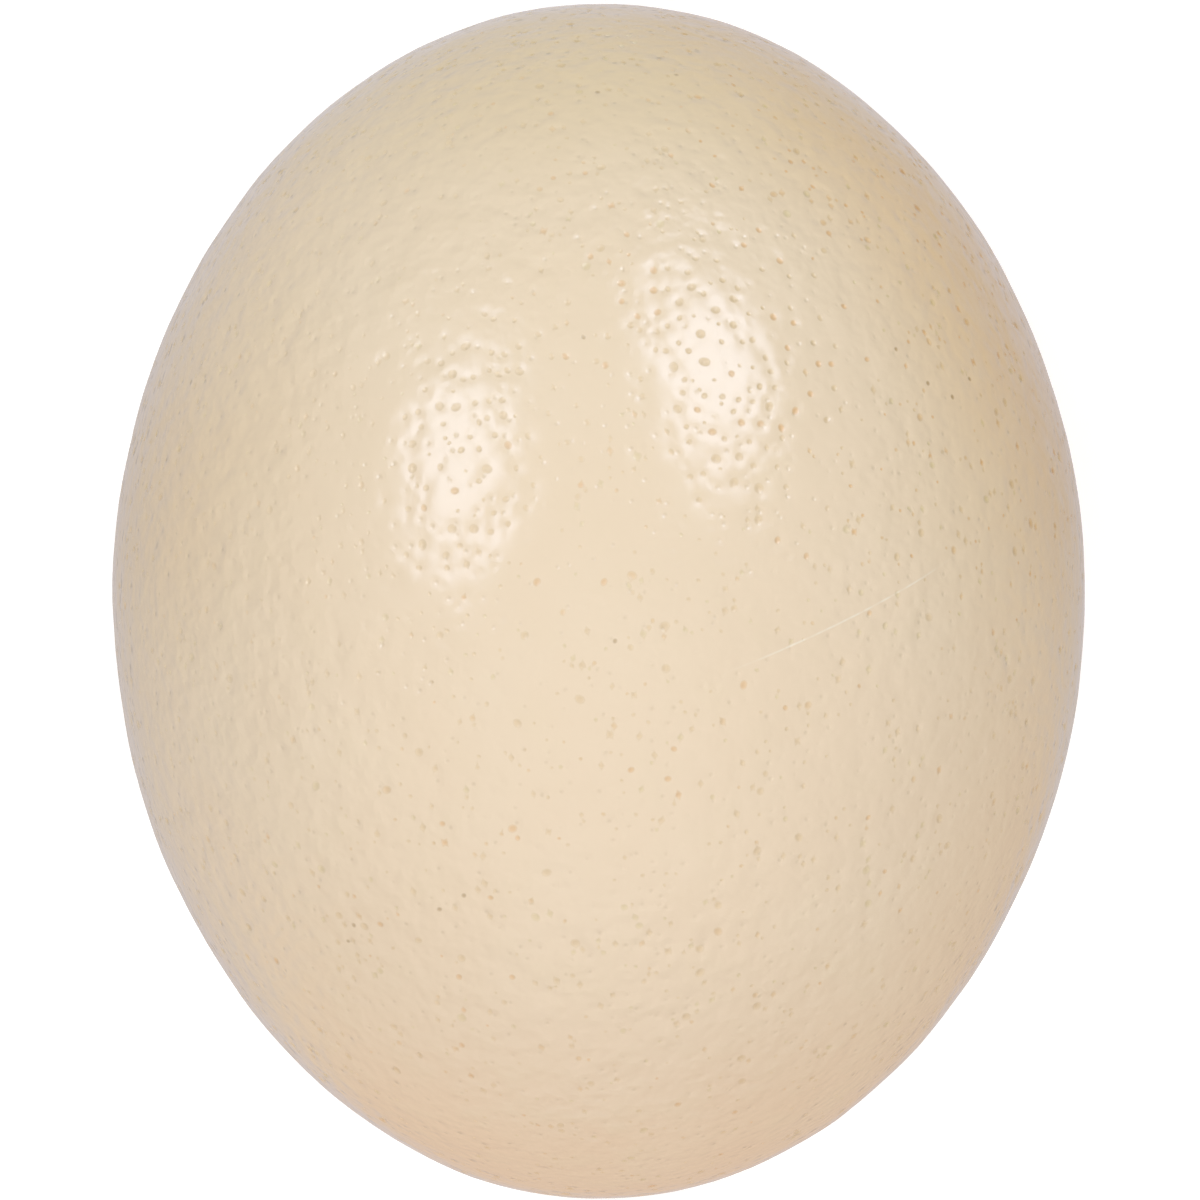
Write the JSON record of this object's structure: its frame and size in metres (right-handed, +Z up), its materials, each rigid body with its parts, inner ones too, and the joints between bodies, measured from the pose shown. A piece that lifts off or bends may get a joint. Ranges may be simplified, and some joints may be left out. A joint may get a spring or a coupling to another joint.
{
  "type": "ostrich egg",
  "caption": "Whole ostrich egg lying on its side: a thick, glossy ivory shell dotted all over with small pits, resting on a small flat spot on its underside.",
  "frame": {"origin": "middle of the egg's length and width, in the plane of the flat spot that it rests on", "axes": "+Y along the egg's long axis towards its slightly fuller end, +Z up out of the surface that it lies on, +X across it"},
  "size_m": [0.126, 0.155, 0.1258],
  "materials": {
    "shell": "satin"
  },
  "bodies": {
    "root": {"egg": "shell"}
  },
  "joints": []
}
